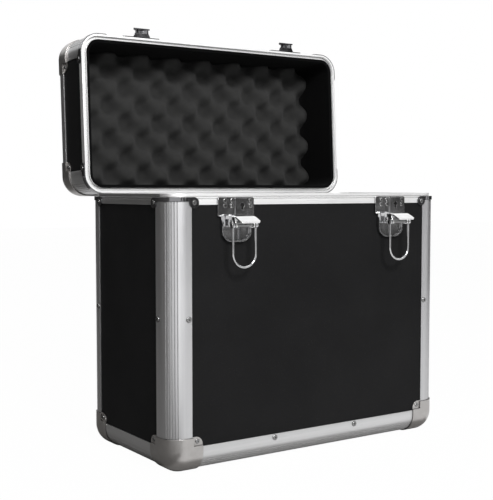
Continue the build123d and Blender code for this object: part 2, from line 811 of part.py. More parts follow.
lid_lobe_height = lid_base + joint_play + brace_lobe
lid_brace = strap_brace(lid_base + joint_play, lid_rim_top, lid_lobe_height)
lid_brace_places = brace_places(lid_lobe_height)
lid_brace = drilled(lid_brace, lid_brace_places, brace_grip)
lid["lid_rim_braces"] = group(four_corners(lid_brace).values())
lid_brace_rivet = group(
    [rivet_at(p, brace_grip, small_head_radius, small_head_height) for p in lid_brace_places]
)
lid_rivets = list(four_corners(lid_brace_rivet).values())
lid_rivets += [turned_over(ear_rivets), turned_over(rail_rivet_set)]
lid_rivets.append(turned_over(about_face(rail_rivet_set)))

# ---- lid boards ---------------------------------------------------------------------------------
lid_board_low = lid_base + groove_depth + lid_rim_web + board_end_play
lid_board_high = lid_top - board_inset
lid_wide = box_between(
    (-half_w + board_inset, -half_d + rail_skin, lid_board_low),
    (half_w - board_inset, -half_d + rail_skin + board, lid_board_high),
)
lid_narrow = box_between(
    (-half_w + rail_skin, -half_d + board_inset, lid_board_low),
    (-half_w + rail_skin + board, half_d - board_inset, lid_board_high),
)
panel_top = lid_top - rail_skin
lid_top_panel = box_between(
    (-half_w + board_inset, -half_d + board_inset, panel_top - board),
    (half_w - board_inset, half_d - board_inset, panel_top),
)
upside_down = Pos(0, 0, body_floor + lid_top) * Rot(180, 0, 0)
cap_turns = (Pos(-half_w, half_d) * Rot(0, 0, 270), Pos(half_w, half_d) * Rot(0, 0, 180))
lid_front_places = [turn * place for turn in front_turns for place in lid_brace_places]
lid_front_places += [upside_down * turn * place for turn in cap_turns for place in ear_places]
lid_front_places += [upside_down * Rot(0, 0, 180) * place for place in rail_rivets]
lid_left_places = [turn * place for turn in left_turns for place in lid_brace_places]
lid_left_places += [upside_down * turn * place for turn in left_turns for place in ear_places]
lid_front = drilled(lid_wide, lid_front_places, brace_grip + drill_past)
lid_left = drilled(lid_narrow, lid_left_places, brace_grip + drill_past)
for side, shape in (("front", lid_front), ("left", lid_left)):
    far = {"front": "rear", "left": "right"}[side]
    places = lid_front_places if side == "front" else lid_left_places
    lid["lid_rim_" + side] = drilled(lid["lid_rim_" + side], places, brace_grip + drill_past)
    lid["lid_rim_" + far] = about_face(lid["lid_rim_" + side])
    lid["lid_" + side + "_panel"] = shape
    lid["lid_" + far + "_panel"] = about_face(shape)
for place in hinge_places:
    spots = [place * spot for spot in lid_leaf_places]
    lid["lid_rear_panel"] = drilled(lid["lid_rear_panel"], spots, leaf_grip + drill_past)
    lid_rivets += [
        rivet_at(spot, leaf_grip, small_head_radius, small_head_height) for spot in spots
    ]
lid["hinge_lid_leaves"] = group([place * lid_leaf_shape for place in hinge_places])

# ---- lid lining and egg-crate foam --------------------------------------------------------------
lid_tub_low = lid_base + lining_top_drop
lid_tub = lining_tub(body_floor + lining_depth, body_floor + lid_top - lid_tub_low)
lid["lid_lining"] = turned_over(lid_tub)
foam_inset_w = half_w - lining_inside - foam_play
foam_inset_d = half_d - lining_inside - foam_play
foam_floor = body_floor + lining_inside
foam = rounded_block(
    (-foam_inset_w, -foam_inset_d, foam_floor),
    (foam_inset_w, foam_inset_d, foam_floor + foam_thick),
    lining_radius - lining - foam_play,
)
lid["lid_foam"] = turned_over(foam)

# ---- keepers: a plate on the lid front with an arched hook, a web across it and a turned-up lip --
folded_y, folded_z = bail_pin_place(lever_folded)
hook_top = folded_z + bail_reach - hook_play
keeper_low = lid_base + keeper_margin
lip_back = folded_y - bail_wire / 2 - lip_play
foot_slope = (keeper_foot_wide - keeper_foot_narrow) / 2 / keeper_foot_reach
foot_angle = 90 - math.degrees(math.atan(foot_slope))


def keeper():
    plate = Pos(0, keeper_low) * Rectangle(keeper_width, keeper_height, align=(Align.CENTER, Align.MIN))
    plate = fillet(plate.vertices(), plate_corner)
    shape = extrude(front_face * plate, amount=keeper_thick)
    pad_low = lid_rim_top + joint_play
    pad = plate & Pos(0, pad_low) * Rectangle(keeper_width, keeper_height, align=(Align.CENTER, Align.MIN))
    shape += extrude(front_face * pad, amount=-rail_skin)
    above = Pos(0, keeper_low) * Rectangle(keeper_width, keeper_width, align=(Align.CENTER, Align.MIN))
    centre = Pos(0, hook_top - hook_radius)
    arch = centre * (Circle(hook_radius) - Circle(hook_radius - hook_sheet)) & above
    hook_length = -half_d - keeper_thick - lip_back
    shape += extrude(front_face.offset(keeper_thick) * arch, amount=hook_length)
    lip = centre * Pos(0, hook_lip_rise) * Circle(hook_radius) & above
    lip_face = Plane(origin=(0, lip_back, 0), x_dir=(1, 0, 0), z_dir=(0, -1, 0))
    shape += extrude(lip_face * lip, amount=hook_sheet)
    foot = Trapezoid(keeper_foot_wide, keeper_foot_reach, foot_angle, align=(Align.CENTER, Align.MIN))
    foot_face = Plane(origin=(0, -half_d - keeper_thick, keeper_low), x_dir=(-1, 0, 0), z_dir=(0, 0, 1))
    shape += extrude(foot_face * foot, amount=hook_sheet)
    return shape


keeper_z = keeper_low + keeper_height - keeper_rivet_inset
keeper_places = [
    facing((x, -half_d - keeper_thick, keeper_z), (0, -1, 0))
    for x in (-keeper_rivet_spacing / 2, keeper_rivet_spacing / 2)
]
keeper_grip = keeper_thick + wall_depth - rivet_play
keeper_shape = drilled(keeper(), keeper_places, keeper_grip)
for side, place in latch_places.items():
    lid["keeper_" + side] = place * keeper_shape
    spots = [place * spot for spot in keeper_places]
    lid["lid_front_panel"] = drilled(lid["lid_front_panel"], spots, keeper_grip + drill_past)
    lid_rivets += [
        rivet_at(spot, keeper_grip, small_head_radius, small_head_height) for spot in spots
    ]

# ---- carry handle on the lid --------------------------------------------------------------------
handle_z = panel_top + handle_axis_rise
handle_line = Axis((0, 0, handle_z), (1, 0, 0))
lug_start = handle_half + handle_bend + handle_play
bracket_centre = lug_start + bracket_lug / 2
pin_end = lug_start + bracket_lug


def bracket():
    """A riveted foot with one upright lug that holds an end of the handle's rod."""
    foot = Box(bracket_width, bracket_length, bracket_thick, align=ON_TOP)
    foot = Pos(bracket_centre, 0, panel_top) * foot
    foot = fillet(foot.edges().filter_by(Axis.Z), plate_corner)
    lug_face = Plane(origin=(lug_start, 0, 0), x_dir=(0, 1, 0), z_dir=(1, 0, 0))
    outline = Pos(0, handle_z) * Circle(lug_radius)
    outline += Pos(0, panel_top) * Rectangle(
        2 * lug_radius, handle_axis_rise, align=(Align.CENTER, Align.MIN)
    )
    foot += extrude(lug_face * outline, amount=bracket_lug)
    return foot - across(0, handle_z, handle_rod_radius + pin_play, case_width)


def handle_rod():
    """One bent rod: a pin end in each lug, two arms and the bar that the grip is moulded on."""
    path = FilletPolyline(
        (-pin_end, 0, 0),
        (-handle_half, 0, 0),
        (-handle_half, handle_reach, 0),
        (handle_half, handle_reach, 0),
        (handle_half, 0, 0),
        (pin_end, 0, 0),
        radius=handle_bend,
    )
    start = Plane(origin=(-pin_end, 0, 0), z_dir=(1, 0, 0))
    return Pos(0, 0, handle_z) * sweep(start * Circle(handle_rod_radius), path=path)


def handle_grip():
    bar = across(handle_reach, handle_z, handle_grip_radius, handle_grip_length / 2)
    bar = fillet(bar.edges().filter_by(GeomType.CIRCLE), grip_round)
    return bar - across(handle_reach, handle_z, handle_rod_radius + pin_play, handle_half)


hang_angle = open_angle - 90
bracket_shape = bracket()
bracket_rivet_x = bracket_centre + bracket_width / 2 - bracket_rivet_inset
bracket_places = [
    facing((bracket_rivet_x, y, panel_top + bracket_thick), (0, 0, 1))
    for y in (-bracket_rivet_spacing / 2, bracket_rivet_spacing / 2)
]
bracket_grip = bracket_thick + board
bracket_shape = drilled(bracket_shape, bracket_places, bracket_grip + drill_past)
bracket_places += [Rot(0, 0, 180) * place for place in bracket_places]
lid["handle_brackets"] = group([bracket_shape, about_face(bracket_shape)])
lid["lid_top_panel"] = drilled(lid_top_panel, bracket_places, bracket_grip + drill_past)
lid_rivets += [
    rivet_at(p, bracket_grip - rivet_play, small_head_radius, small_head_height)
    for p in bracket_places
]
lid["handle_rod"] = handle_rod().rotate(handle_line, hang_angle)
lid["handle_grip"] = handle_grip().rotate(handle_line, hang_angle)
lid["lid_rivets"] = group(lid_rivets)

for name, shape in lid.items():
    nodes[name] = opened(shape)

for name, shape in nodes.items():
    export_step(shape, "parts/" + name + ".step")
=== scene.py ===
import bpy
import bmesh
import math
from mathutils import Matrix, Vector, noise


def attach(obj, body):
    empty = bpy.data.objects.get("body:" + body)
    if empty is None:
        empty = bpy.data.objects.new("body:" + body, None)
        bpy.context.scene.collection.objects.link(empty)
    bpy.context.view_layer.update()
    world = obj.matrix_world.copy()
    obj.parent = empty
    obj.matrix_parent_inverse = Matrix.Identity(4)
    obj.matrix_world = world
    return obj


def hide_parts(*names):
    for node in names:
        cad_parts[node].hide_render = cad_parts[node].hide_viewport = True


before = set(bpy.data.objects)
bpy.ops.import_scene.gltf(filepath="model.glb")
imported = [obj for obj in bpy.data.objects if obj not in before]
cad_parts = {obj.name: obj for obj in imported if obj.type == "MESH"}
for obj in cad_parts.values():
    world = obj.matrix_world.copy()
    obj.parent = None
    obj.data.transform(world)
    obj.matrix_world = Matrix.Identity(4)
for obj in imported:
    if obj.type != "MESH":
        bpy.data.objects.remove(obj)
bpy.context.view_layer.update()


# ---- studio ---------------------------------------------------------------------------------------
# A pale floor under a white room, one soft lamp over the viewer's shoulder and a weaker one above.
# Dark cards behind and beside the case and narrow flags in front give the metal something to mirror; a dark
# sheet on the floor to the left and a grey one under the case stand for the floor's shade there and are seen
# only in the metal, a painted shade in its reflections. Only the three upright cards keep light off the
# case.
floor_half = 6.0
room_light = 0.26
floor_glow_seen = 0.985
floor_glow_mirrored = 0.45
lamp_target = (0, 0, 0.25)


def add(tree, kind, inputs=None, **settings):
    """A node with its settings; each input takes a plain value or another node's socket."""
    made = tree.nodes.new(kind)
    for name, value in settings.items():
        setattr(made, name, value)
    for name, value in (inputs or {}).items():
        if isinstance(value, bpy.types.NodeSocket):
            tree.links.new(value, made.inputs[name])
        else:
            made.inputs[name].default_value = value
    return made


def new_material(name):
    made = bpy.data.materials.new(name)
    made.use_nodes = True
    made.node_tree.nodes.clear()
    return made, made.node_tree


def seen_directly(tree, mirrored_share):
    """1 for what the eye sees, straight or through glass, a share in mirrors, 0 for what only lights."""
    path = add(tree, "ShaderNodeLightPath")
    straight = add(
        tree, "ShaderNodeMath", {0: path.outputs["Is Camera Ray"], 1: path.outputs["Is Transmission Ray"]},
        operation="MAXIMUM",
    )
    mirrored = add(
        tree, "ShaderNodeMath", {0: path.outputs["Is Glossy Ray"], 1: mirrored_share},
        operation="MULTIPLY",
    )
    return add(
        tree, "ShaderNodeMath", {0: straight.outputs[0], 1: mirrored.outputs[0]}, operation="MAXIMUM"
    ).outputs[0]


room = bpy.data.worlds.new("white_room")
bpy.context.scene.world = room
room.use_nodes = True
room_tree = room.node_tree
room_tree.nodes.clear()
room_lit = add(room_tree, "ShaderNodeBackground", {"Color": (1, 1, 1, 1), "Strength": room_light})
room_seen = add(room_tree, "ShaderNodeBackground", {"Color": (1, 1, 1, 1), "Strength": 1.0})
room_mix = add(
    room_tree, "ShaderNodeMixShader",
    {0: seen_directly(room_tree, 1.0), 1: room_lit.outputs[0], 2: room_seen.outputs[0]},
)
add(room_tree, "ShaderNodeOutputWorld", {"Surface": room_mix.outputs[0]})

bpy.ops.mesh.primitive_plane_add(size=2 * floor_half)
floor = bpy.context.object
floor.name = "floor"
floor_paint, floor_tree = new_material("floor_paint")
floor_coat = add(
    floor_tree, "ShaderNodeBsdfPrincipled",
    {"Base Color": (0.96, 0.96, 0.96, 1), "Roughness": 0.8, "Specular IOR Level": 0.1},
)
floor_glow = add(floor_tree, "ShaderNodeEmission", {"Color": (1, 1, 1, 1), "Strength": 1.0})
glow_share = add(
    floor_tree, "ShaderNodeMath",
    {0: seen_directly(floor_tree, floor_glow_mirrored), 1: floor_glow_seen}, operation="MULTIPLY",
)
floor_mix = add(
    floor_tree, "ShaderNodeMixShader",
    {0: glow_share.outputs[0], 1: floor_coat.outputs[0], 2: floor_glow.outputs[0]},
)
add(floor_tree, "ShaderNodeOutputMaterial", {"Surface": floor_mix.outputs[0]})
floor.data.materials.append(floor_paint)


def aim(thing, place, target):
    thing.location = place
    thing.rotation_euler = (Vector(target) - Vector(place)).to_track_quat("-Z", "Y").to_euler()


def soft_lamp(name, place, size, power):
    lamp = bpy.data.objects.new(name, bpy.data.lights.new(name, "AREA"))
    lamp.data.shape = "SQUARE"
    lamp.data.size = size
    lamp.data.energy = power
    bpy.context.collection.objects.link(lamp)
    aim(lamp, place, lamp_target)
    lamp.visible_camera = False


soft_lamp("front_lamp", place=(-0.5, -2.25, 1.65), size=0.7, power=60)
soft_lamp("top_lamp", place=(0.3, -0.3, 2.4), size=1.6, power=8)


def surface(tree, inputs):
    """Ends a material with its one Principled surface."""
    face = add(tree, "ShaderNodeBsdfPrincipled", inputs)
    add(tree, "ShaderNodeOutputMaterial", {"Surface": face.outputs[0]})


def card_paint(name, grey):
    made, tree = new_material(name)
    surface(tree, {"Base Color": (*grey, 1), "Roughness": 0.9})
    return made


card_grey = card_paint("card_grey", (0.075, 0.074, 0.073))
warm_card_and_floor_shade = card_paint("warm_card_and_floor_shade", (0.19, 0.186, 0.181))
pale_floor_shade = card_paint("pale_floor_shade", (0.34, 0.335, 0.33))


def dark_card(name, place, target, half, paint=card_grey):
    """A flat card facing its target; half holds half its width and half its height."""
    bpy.ops.mesh.primitive_plane_add(size=2)
    card = bpy.context.object
    card.name = name
    aim(card, place, target)
    card.scale = (*half, 1)
    card.visible_camera = False
    card.data.materials.append(paint)
    return card


dark_card("left_card", place=(-1.35, 1.3, 1.5), target=(0, 1.3, 1.5), half=(1.9, 1.5), paint=warm_card_and_floor_shade)
dark_card("back_card", place=(0.5, 2.6, 0.6), target=(0.5, 0, 0.6), half=(2.4, 0.6))
dark_card("right_card", place=(1.7, 1.0, 0.6), target=(0, 1.0, 0.6), half=(1.6, 0.6))
# painted shade: a dark sheet seen only in the metal's reflections, standing for the shaded floor to the left
mirrored_left_floor_shade = dark_card(
    "mirrored_left_floor_shade", place=(-1.18, 0.95, 0.003), target=(-1.18, 0.95, 1.0), half=(1.0, 1.25), paint=warm_card_and_floor_shade
)
# painted shade: a grey sheet seen only in reflections, standing for the floor's shade under and round the
# case
mirrored_floor_shade = dark_card(
    "mirrored_floor_shade", place=(0, 0, 0.0015), target=(0, 0, 1.0), half=(0.192, 0.099), paint=pale_floor_shade
)
unseen_by_light = [mirrored_left_floor_shade, mirrored_floor_shade]
flag_reach = 2.2
flag_middle = 0.55
flag_bearings_and_widths = ((-10, 0.10), (3, 0.17), (16, 0.20), (29.8, 0.22), (43.0, 0.18), (60, 0.09))
for bearing, half_wide in flag_bearings_and_widths:
    angle = math.radians(bearing)
    place = (flag_reach * math.sin(angle), -flag_reach * math.cos(angle), flag_middle)
    flag = dark_card("flag_" + str(bearing), place, (0, 0, flag_middle), (half_wide, flag_middle))
    unseen_by_light.append(flag)
for card in unseen_by_light:
    card.visible_diffuse = False
    card.visible_shadow = False


# ---- camera ---------------------------------------------------------------------------------------
# A long lens at the height of the rim, in front of the left corner and turned down a little, so that
# the open lid and the front stand in one view.
camera_place = (-0.6631, -0.9342, 0.2882)
camera_heading = 34.123
camera_dip = 3.517
camera_lens = 71.04
camera = bpy.data.objects.new("camera", bpy.data.cameras.new("camera"))
camera.data.lens = camera_lens
camera.location = camera_place
camera.rotation_euler = (math.radians(90 - camera_dip), 0, -math.radians(camera_heading))
bpy.context.collection.objects.link(camera)
bpy.context.scene.camera = camera
bpy.context.scene.view_settings.view_transform = "Standard"


# ---- black boards ---------------------------------------------------------------------------------
# Thin plywood faced with matte black laminate, pressed with a fine pebble. Each board stands in the
# rails' slots; its faces carry a little dust and the odd paler rub.
board_names = (
    "front_panel", "rear_panel", "left_panel", "right_panel", "base_panel",
    "lid_front_panel", "lid_rear_panel", "lid_left_panel", "lid_right_panel", "lid_top_panel",
)
board_deep = (0.0108, 0.0108, 0.0112)
board_pale = (0.0140, 0.0140, 0.0144)
board_dust = (0.06, 0.06, 0.058)


def new_group(name, inputs, outputs):
    """An empty effect group; inputs are (name, socket, value) and outputs are (name, socket)."""
    tree = bpy.data.node_groups.new(name, "ShaderNodeTree")
    for label, socket, value in inputs:
        made = tree.interface.new_socket(label, in_out="INPUT", socket_type=socket)
        made.default_value = value
    for label, socket in outputs:
        tree.interface.new_socket(label, in_out="OUTPUT", socket_type=socket)
    return tree, tree.nodes.new("NodeGroupInput"), tree.nodes.new("NodeGroupOutput")


def use_group(tree, group, inputs):
    return add(tree, "ShaderNodeGroup", inputs, node_tree=group)


def own_place(tree):
    return add(tree, "ShaderNodeTexCoord").outputs["Object"]


def remap(tree, value, low, high, to_low=0.0, to_high=1.0):
    return add(
        tree, "ShaderNodeMapRange",
        {"Value": value, "From Min": low, "From Max": high, "To Min": to_low, "To Max": to_high},
    ).outputs[0]


def noise_value(tree, where, scale, detail=2.0, rough=0.5):
    return add(
        tree, "ShaderNodeTexNoise",
        {"Vector": where, "Scale": scale, "Detail": detail, "Roughness": rough},
    ).outputs["Fac"]


def two_tone(tree, share, deep, pale, low=0.0, high=1.0):
    """A colour that goes from deep to pale as the share goes from low to high."""
    ramp = add(tree, "ShaderNodeValToRGB", {"Fac": share})
    for stop, place, colour in zip(ramp.color_ramp.elements, (low, high), (deep, pale)):
        stop.position = place
        stop.color = (*colour, 1)
    return ramp.outputs["Color"]


def over(tree, share, under, top):
    """A colour with a plain one laid over it, by a mask."""
    return add(
        tree, "ShaderNodeMix", {0: share, 6: under, 7: (*top, 1)}, data_type="RGBA"
    ).outputs[2]


def bumped(tree, height, strength, distance, **normal):
    return add(
        tree, "ShaderNodeBump",
        {"Strength": strength, "Distance": distance, "Height": height, **normal},
    ).outputs[0]


# smears and dust: soft clouds for handling marks, with fine specks of dust in them
handling, handling_in, handling_out = new_group(
    "handling_marks",
    [("Cloud Scale", "NodeSocketFloat", 9.0), ("Speck Scale", "NodeSocketFloat", 900.0)],
    [("Smear", "NodeSocketFloat"), ("Dust", "NodeSocketFloat")],
)
handling_place = own_place(handling)
handling_cloud = noise_value(
    handling, handling_place, handling_in.outputs["Cloud Scale"], detail=5.0, rough=0.6
)
handling_speck = noise_value(handling, handling_place, handling_in.outputs["Speck Scale"], detail=1.0)
handling_dust = add(
    handling, "ShaderNodeMath",
    {0: remap(handling, handling_speck, 0.68, 0.8), 1: handling_cloud}, operation="MULTIPLY",
)
handling.links.new(remap(handling, handling_cloud, 0.35, 0.7), handling_out.inputs["Smear"])
handling.links.new(handling_dust.outputs[0], handling_out.inputs["Dust"])


def dress(finish, *names):
    """Gives CAD nodes a finish; names that end in a star take every node that starts so."""
    for name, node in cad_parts.items():
        if any(name == n or n.endswith("*") and name.startswith(n[:-1]) for n in names):
            for part in node.material_slots:
                part.material = finish


board_black, board_tree = new_material("board_black")
board_marks = use_group(board_tree, handling, {"Cloud Scale": 7.0, "Speck Scale": 1400.0})
board_pebble = add(
    board_tree, "ShaderNodeTexVoronoi", {"Vector": own_place(board_tree), "Scale": 1300.0},
    feature="SMOOTH_F1",
)
board_smeared = two_tone(board_tree, board_marks.outputs["Smear"], board_deep, board_pale)
surface(board_tree, {
    "Base Color": over(board_tree, board_marks.outputs["Dust"], board_smeared, board_dust),
    "Specular IOR Level": 0.03,
    "Roughness": remap(board_tree, board_marks.outputs["Smear"], 0.0, 1.0, 0.58, 0.5),
    "Normal": bumped(board_tree, board_pebble.outputs["Distance"], 0.25, 0.0002),
})
dress(board_black, *board_names)


# ---- aluminium rails ------------------------------------------------------------------------------
# Extruded aluminium, satin anodised, drawn through the die so that faint lines run along its length.
# The cut ends and the slot lips are painted paler along their sharp edges, a painted highlight.
rail_tones = dict(pale=(0.73, 0.73, 0.735), deep=(0.64, 0.64, 0.645), rough=(0.30, 0.42))
# the upright rails are given darker tones than the level ones: painted shade
upright_shaded_tones = dict(pale=(0.66, 0.66, 0.67), deep=(0.57, 0.57, 0.58), rough=(0.30, 0.42))
# colour of the painted highlight along sharp edges
edge_highlight = (0.95, 0.95, 0.95)
# colour of the rails' crevices: partly dirt, partly painted shade
rail_dirt_and_shade = (0.06, 0.06, 0.06)
along = 0.008
lines_upright = (1, 1, along)
lines_wide = (along, 1, 1)
lines_deepways = (1, along, 1)

# drawn lines: the same noise, stretched along the rail, once broad and once fine
drawn, drawn_in, drawn_out = new_group(
    "drawn_lines",
    [("Stretch", "NodeSocketVector", (1.0, 1.0, 1.0)), ("Scale", "NodeSocketFloat", 1.0)],
    [("Broad", "NodeSocketFloat"), ("Fine", "NodeSocketFloat")],
)
drawn_stretched = add(
    drawn, "ShaderNodeVectorMath", {0: own_place(drawn), 1: drawn_in.outputs["Stretch"]},
    operation="MULTIPLY",
)
drawn_scaled = add(
    drawn, "ShaderNodeVectorMath",
    {0: drawn_stretched.outputs[0], "Scale": drawn_in.outputs["Scale"]}, operation="SCALE",
)
drawn_broad = noise_value(drawn, drawn_scaled.outputs[0], 260.0)
drawn_fine = noise_value(drawn, drawn_scaled.outputs[0], 2600.0, detail=3.0, rough=0.7)
drawn.links.new(drawn_broad, drawn_out.inputs["Broad"])
drawn.links.new(drawn_fine, drawn_out.inputs["Fine"])

# rounded edges: a rounded normal for sharp edges, and a mask of how sharp the edge is, which the rails use
# to lay on a painted highlight
edge_rounding, edge_rounding_in, edge_rounding_out = new_group(
    "rounded_edges",
    [("Radius", "NodeSocketFloat", 0.0004)],
    [("Edge", "NodeSocketFloat"), ("Normal", "NodeSocketVector")],
)
edge_bevel = add(edge_rounding, "ShaderNodeBevel", {"Radius": edge_rounding_in.outputs["Radius"]}, samples=4)
edge_plain = add(edge_rounding, "ShaderNodeNewGeometry").outputs["Normal"]
edge_dot = add(
    edge_rounding, "ShaderNodeVectorMath", {0: edge_bevel.outputs[0], 1: edge_plain}, operation="DOT_PRODUCT"
)
edge_rounding.links.new(remap(edge_rounding, edge_dot.outputs["Value"], 0.995, 0.8), edge_rounding_out.inputs["Edge"])
edge_rounding.links.new(edge_bevel.outputs[0], edge_rounding_out.inputs["Normal"])

# crevice darkening: colour goes darker where a surface is closed in by its neighbours, partly dirt and
# partly painted shade
crevice_darkening, crevice_darkening_in, crevice_darkening_out = new_group(
    "crevice_dirt_and_shade",
    [("Reach", "NodeSocketFloat", 0.004)],
    [("Shut", "NodeSocketFloat")],
)
crevice_occlusion = add(crevice_darkening, "ShaderNodeAmbientOcclusion", {"Distance": crevice_darkening_in.outputs["Reach"]}, samples=6)
crevice_darkening.links.new(remap(crevice_darkening, crevice_occlusion.outputs["AO"], 0.8, 0.35), crevice_darkening_out.inputs["Shut"])


def dirt_and_shade_in_crevices(tree, colour, reach, dirt_and_shade):
    """A colour that goes over to a darker tone in the crevices within reach: partly soiling, partly painted
    shade.
    """
    return over(tree, use_group(tree, crevice_darkening, {"Reach": reach}).outputs["Shut"], colour, dirt_and_shade)


def drawn_aluminium(name, stretch, pale, deep, rough):
    made, tree = new_material(name)
    lines = use_group(tree, drawn, {"Stretch": stretch, "Scale": 1.0})
    marks = use_group(tree, handling, {"Cloud Scale": 14.0, "Speck Scale": 1100.0})
    edges = use_group(tree, edge_rounding, {"Radius": 0.0003})
    lined = two_tone(tree, lines.outputs["Broad"], deep, pale, low=0.3, high=0.7)
    # a pale colour laid along the sharp edges: painted highlight
    edge_highlighted = over(tree, edges.outputs["Edge"], lined, edge_highlight)
    streak = remap(tree, lines.outputs["Fine"], 0.3, 0.7, *rough)
    smear = remap(tree, marks.outputs["Smear"], 0, 1, 0.0, 0.06)
    smeared = add(tree, "ShaderNodeMath", {0: streak, 1: smear}, operation="ADD")
    surface(tree, {
        # darker in the crevices within reach: partly dirt, partly painted shade
        "Base Color": dirt_and_shade_in_crevices(tree, edge_highlighted, 0.003, rail_dirt_and_shade),
        "Metallic": 1.0,
        "Roughness": smeared.outputs[0],
        "Normal": bumped(tree, lines.outputs["Fine"], 0.12, 0.00005, Normal=edges.outputs["Normal"]),
    })
    return made


rail_upright = drawn_aluminium("rail_upright", lines_upright, **upright_shaded_tones)
rail_wide = drawn_aluminium("rail_wide", lines_wide, **rail_tones)
rail_deepways = drawn_aluminium("rail_deepways", lines_deepways, **rail_tones)
dress(rail_upright, "corner_rail_*", "lid_rail_left", "lid_rail_right")
dress(rail_wide, "base_rail_front", "base_rail_rear", "lid_rail_front", "lid_rail_rear")
dress(rail_deepways, "base_rail_left", "base_rail_right", "lid_corner_rails")


# ---- aluminium rims -------------------------------------------------------------------------------
# The tongued rim of the body and the grooved rim of the lid, drawn like the rails but brighter and more
# matte, with four bent corners each. The lengths on the body's sides are given darker tones, a painted
# shade.
rim_tones = dict(pale=(0.94, 0.94, 0.94), deep=(0.86, 0.86, 0.86), rough=(0.46, 0.58))
# the body's side lengths are darker: painted shade
rim_side_shaded_tones = dict(pale=(0.48, 0.48, 0.48), deep=(0.42, 0.42, 0.42), rough=(0.40, 0.52))
rim_upright = drawn_aluminium("rim_upright", lines_upright, **rim_tones)
rim_wide = drawn_aluminium("rim_wide", lines_wide, **rim_tones)
rim_deepways = drawn_aluminium("rim_deepways", lines_deepways, **rim_side_shaded_tones)
dress(rim_upright, "lid_rim_left", "lid_rim_right")
dress(rim_wide, "rim_rail_front", "rim_rail_rear", "lid_rim_front", "lid_rim_rear")
dress(rim_wide, "rim_corners", "lid_rim_corners")
dress(rim_deepways, "rim_rail_left", "rim_rail_right")


# ---- corner caps ----------------------------------------------------------------------------------
# Pressed steel ball corners, satin plated and brushed, a little warmer than the rails. They are smeared by
# handling, and darker in the corners where they meet the rails, partly dirt and partly painted shade.
cap_deep = (0.46, 0.444, 0.433)
cap_pale = (0.56, 0.546, 0.536)
# crevice colour of the caps: partly dirt, partly painted shade
cap_dirt_and_shade = (0.05, 0.046, 0.042)
cap_steel, cap_tree = new_material("cap_steel")
cap_marks = use_group(cap_tree, handling, {"Cloud Scale": 30.0, "Speck Scale": 700.0})
cap_edges = use_group(cap_tree, edge_rounding, {"Radius": 0.0005})
cap_mottle = noise_value(cap_tree, own_place(cap_tree), 420.0, detail=3.0, rough=0.6)
cap_brushing = use_group(cap_tree, drawn, {"Stretch": (1, 1, 0.06), "Scale": 0.6})
cap_smeared = two_tone(cap_tree, cap_marks.outputs["Smear"], cap_deep, cap_pale)
surface(cap_tree, {
    "Base Color": dirt_and_shade_in_crevices(cap_tree, cap_smeared, 0.004, cap_dirt_and_shade),
    "Metallic": 1.0,
    "Roughness": remap(cap_tree, cap_mottle, 0.3, 0.7, 0.28, 0.40),
    "Normal": bumped(
        cap_tree, cap_brushing.outputs["Fine"], 0.3, 0.0001, Normal=cap_edges.outputs["Normal"]
    ),
})
dress(cap_steel, "base_caps", "lid_caps")


# ---- draw latches ---------------------------------------------------------------------------------
# Steel pressings and bent wire with a bright nickel plate, clear enough to mirror the room's shade, with
# soft finger smears, and darker in their crevices, partly dirt and partly painted shade. The levers are
# given brighter tones, a painted highlight.
# crevice colour of the plated parts: partly dirt, partly painted shade
plating_dirt_and_shade = (0.03, 0.03, 0.03)
latch_tones = dict(pale=(0.74, 0.74, 0.75), deep=(0.54, 0.54, 0.55), rough=(0.08, 0.16))
# the levers' brighter tones are a painted highlight
lever_lit_tones = dict(pale=(0.95, 0.95, 0.95), deep=(0.86, 0.86, 0.86), rough=(0.07, 0.14))


def plated(name, pale, deep, rough, edge_radius):
    made, tree = new_material(name)
    marks = use_group(tree, handling, {"Cloud Scale": 60.0, "Speck Scale": 1500.0})
    edges = use_group(tree, edge_rounding, {"Radius": edge_radius})
    smeared = two_tone(tree, marks.outputs["Smear"], deep, pale)
    ripple = noise_value(tree, own_place(tree), 90.0)
    surface(tree, {
        # darker in the crevices within reach: partly dirt, partly painted shade
        "Base Color": dirt_and_shade_in_crevices(tree, smeared, 0.003, plating_dirt_and_shade),
        "Metallic": 1.0,
        "Roughness": remap(tree, marks.outputs["Smear"], 0, 1, *rough),
        "Normal": bumped(tree, ripple, 0.25, 0.0004, Normal=edges.outputs["Normal"]),
    })
    return made


latch_plating = plated("latch_plating", edge_radius=0.0004, **latch_tones)
lever_lit_plating = plated("lever_lit_plating", edge_radius=0.0004, **lever_lit_tones)
dress(latch_plating, "latch_plate_*", "bail_left", "bail_right")
dress(lever_lit_plating, "latch_lever_*")


# ---- corner braces and keepers --------------------------------------------------------------------
# Thin pressed straps riveted round the rims' corners, and the latches' keepers on the lid. Both are given a
# plate far darker than the latches', a painted dark reflection.
# the dark plate of braces and keepers is a painted dark reflection
corner_dark_reflection_tones = dict(pale=(0.30, 0.30, 0.31), deep=(0.20, 0.20, 0.21), rough=(0.08, 0.16))
corner_dark_reflection_plating = plated("corner_dark_reflection_plating", edge_radius=0.0003, **corner_dark_reflection_tones)
dress(corner_dark_reflection_plating, "rim_braces", "lid_rim_braces", "keeper_*")


# ---- stop hinges ----------------------------------------------------------------------------------
# Pressed steel leaves, riveted on the rear of the body and the lid and joined by their pins, in a
# satin plate duller than the latches.
hinge_tones = dict(pale=(0.60, 0.60, 0.60), deep=(0.52, 0.52, 0.52), rough=(0.26, 0.36))
hinge_plating = plated("hinge_plating", edge_radius=0.0004, **hinge_tones)
dress(hinge_plating, "hinge_*")


